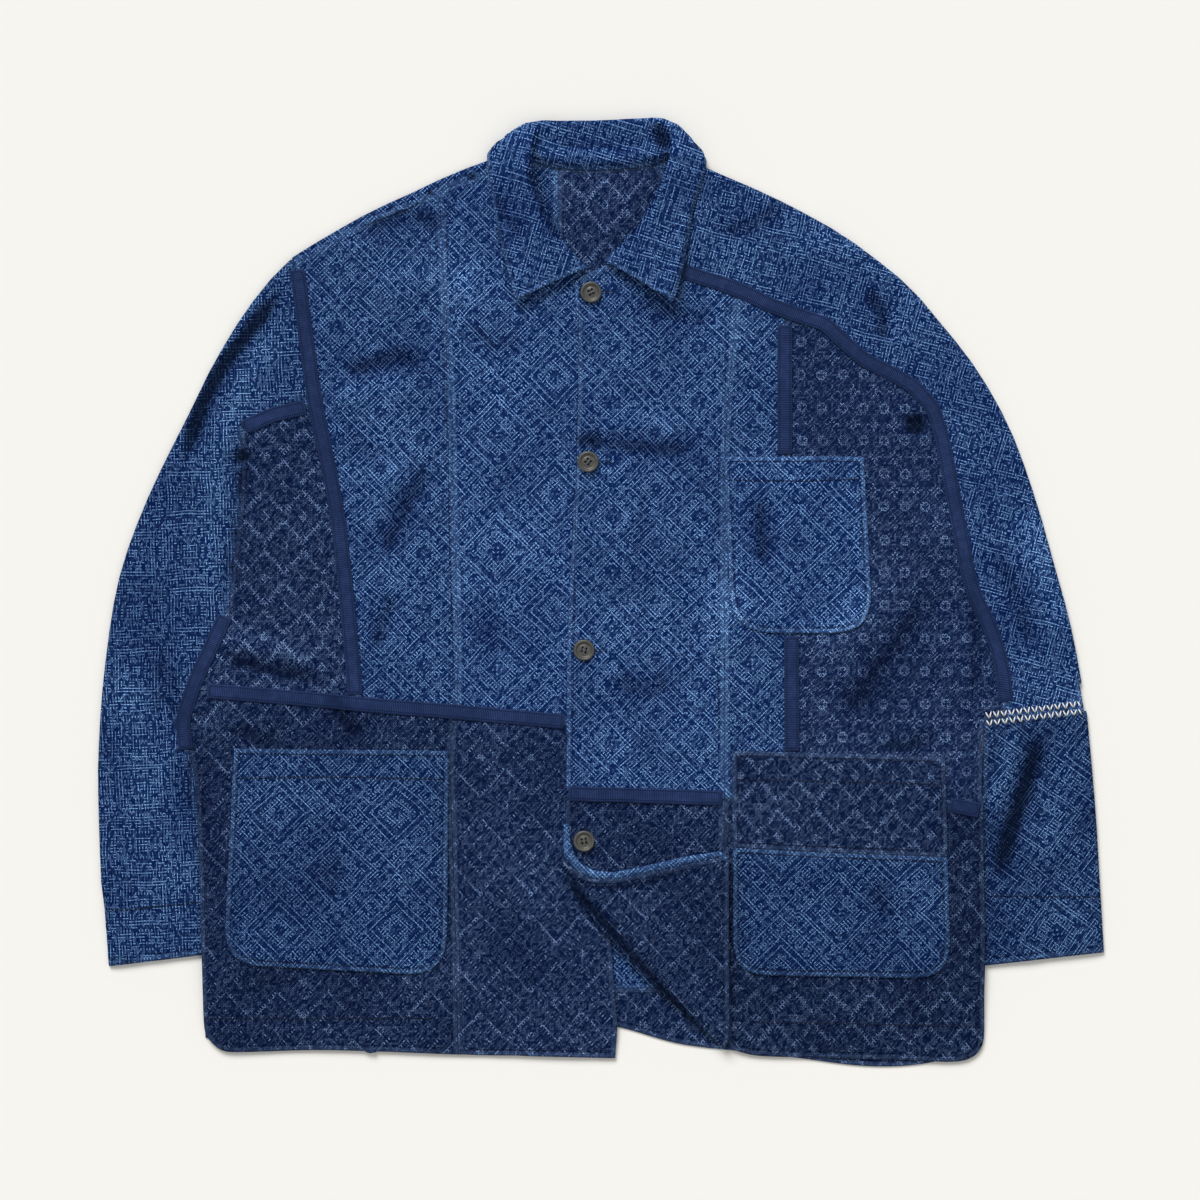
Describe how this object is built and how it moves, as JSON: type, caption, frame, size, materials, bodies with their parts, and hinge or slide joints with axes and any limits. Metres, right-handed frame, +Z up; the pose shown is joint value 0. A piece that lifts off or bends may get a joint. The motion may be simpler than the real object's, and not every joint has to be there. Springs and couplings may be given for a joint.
{
  "type": "patched boro jacket",
  "caption": "Patched indigo jacket laid flat on its back, with turned-down collar, long sleeves, patch pockets, taped seams and a buttoned front with one corner turned back",
  "frame": {"origin": "centre of the jacket's bounding box, on the surface it lies on", "axes": "+Z up off the surface, +Y towards the collar, +X across the sleeves towards the wearer's left"},
  "size_m": [0.8542, 0.805, 0.0246],
  "materials": {
    "fabric_light": "indigo jacquard cotton with light blue dashes in diamonds and frets, worn and faded",
    "fabric_dark": "dark indigo jacquard cotton with a dashed lattice and florets",
    "tape": "navy ribbed binding tape with stitched edges",
    "horn": "dark grey-brown horn-like button, satin"
  },
  "bodies": {
    "root": {"back_right": "fabric_light", "back_lower": "fabric_light", "right_front_side": "fabric_light", "right_front_centre": "fabric_light", "left_front_centre": "fabric_light", "left_front_side": "fabric_light", "right_sleeve": "fabric_light", "left_sleeve_upper": "fabric_light", "left_sleeve_lower": "fabric_light", "right_pocket": "fabric_light", "chest_pocket": "fabric_light", "left_pocket_lower": "fabric_light", "collar": "fabric_light", "back_left": "fabric_dark", "back_hem": "fabric_dark", "right_side_patch": "fabric_dark", "right_lower_side": "fabric_dark", "right_lower_centre": "fabric_dark", "left_side_patch": "fabric_dark", "left_lower_centre": "fabric_dark", "left_lower_side": "fabric_dark", "left_pocket_upper": "fabric_dark", "tape_right_arm": "tape", "tape_right_cross": "tape", "tape_right_under": "tape", "tape_waist": "tape", "tape_belt_centre": "tape", "tape_belt_side": "tape", "tape_strip_upper": "tape", "tape_strip_lower": "tape", "tape_raglan": "tape", "button_1": "horn", "button_2": "horn", "button_3": "horn", "button_4": "horn"}
  },
  "joints": []
}
